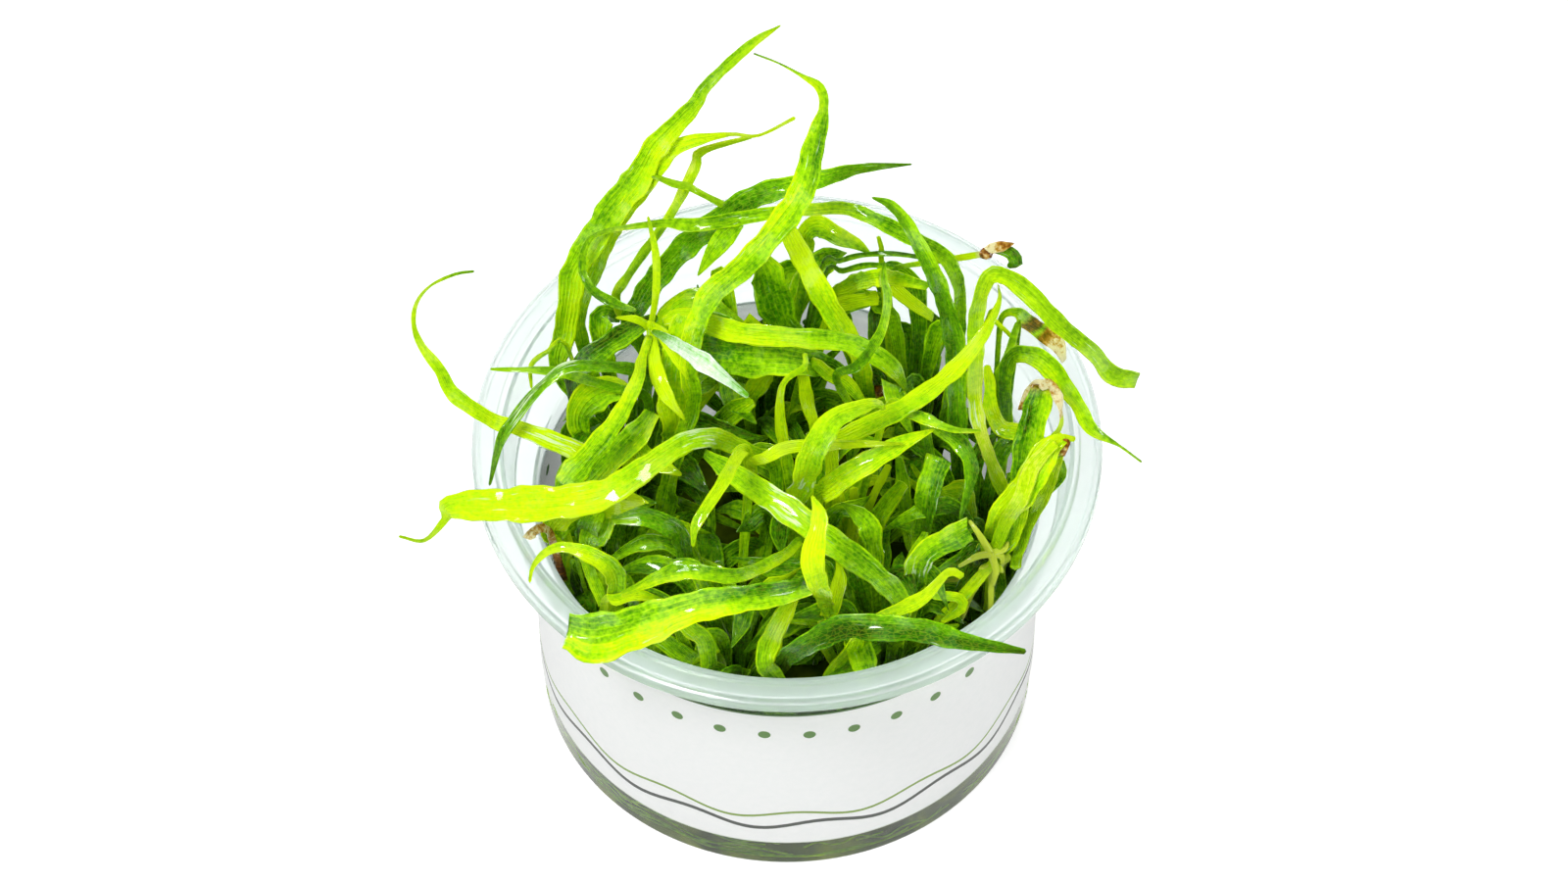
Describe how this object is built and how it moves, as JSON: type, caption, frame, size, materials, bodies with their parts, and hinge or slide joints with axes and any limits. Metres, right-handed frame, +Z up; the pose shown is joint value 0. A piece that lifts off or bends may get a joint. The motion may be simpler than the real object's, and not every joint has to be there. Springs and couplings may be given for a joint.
{
  "type": "tissue culture aquarium plant in cup",
  "caption": "Narrow-leaved aquarium plant grown as tissue culture, standing on gel in a clear flanged cup with a plain white sleeve.",
  "frame": {"origin": "middle of the cup's flat base", "axes": "+Z up along the cup's axis, -Y towards the side the picture shows"},
  "size_m": [0.1047, 0.09, 0.1131],
  "materials": {
    "cup_plastic": "clear glossy polypropylene",
    "label_paper": "white coated paper, bare",
    "gel": "moist translucent agar gel",
    "leaf_bright": "bright green leaf, damp",
    "leaf_mid": "green leaf, damp",
    "leaf_dark": "dark green leaf, wet and glossy",
    "stem_pale": "pale yellow-green stem",
    "crown_base": "pale green sheaths and short inner leaves"
  },
  "bodies": {
    "root": {"back_mid": "leaf_dark", "bent_right": "stem_pale", "bright_bent": "leaf_bright", "bright_over": "leaf_bright", "broad_blunt": "leaf_mid", "broad_left": "leaf_bright", "brown_tipped": "leaf_mid", "centre_broad": "leaf_bright", "centre_diagonal": "leaf_bright", "centre_drop": "leaf_mid", "crown_back": "crown_base", "crown_back_left": "crown_base", "crown_back_right": "crown_base", "crown_front": "crown_base", "crown_front_right": "crown_base", "crown_left": "crown_base", "crown_middle": "crown_base", "crown_right": "crown_base", "cup": "cup_plastic", "curly_front_left": "leaf_mid", "cut_right": "leaf_mid", "dark_back": "leaf_dark", "dark_hook": "leaf_dark", "dark_mid_left": "leaf_dark", "dark_right": "leaf_dark", "diagonal_bright": "leaf_bright", "down_left": "leaf_mid", "drooping_right": "leaf_mid", "far_left_curl": "leaf_mid", "folded_cut": "leaf_mid", "front_bright": "leaf_bright", "front_left_fold": "leaf_dark", "front_over": "leaf_mid", "front_right_curl": "leaf_mid", "front_right_dark": "leaf_dark", "gel": "gel", "label": "label_paper", "left_dark_arch": "leaf_dark", "left_edge": "leaf_dark", "left_low": "leaf_dark", "left_point": "leaf_dark", "long_curl": "leaf_mid", "pale_glossy": "leaf_bright", "plantlet_on_runner": "crown_base", "right_stem": "stem_pale", "right_stem_outer": "stem_pale", "rooted_plantlet": "crown_base", "runner_back": "stem_pale", "tall_arch": "leaf_mid", "tall_left": "leaf_bright", "tall_left_side": "leaf_mid", "thin_point": "leaf_mid", "twisted_narrow": "leaf_mid", "two_tone_tip": "leaf_mid", "u_shaped": "leaf_mid", "under_diagonal": "leaf_mid", "upright_narrow": "leaf_mid", "wilted_broad": "leaf_mid", "wilted_top": "leaf_mid"}
  },
  "joints": []
}
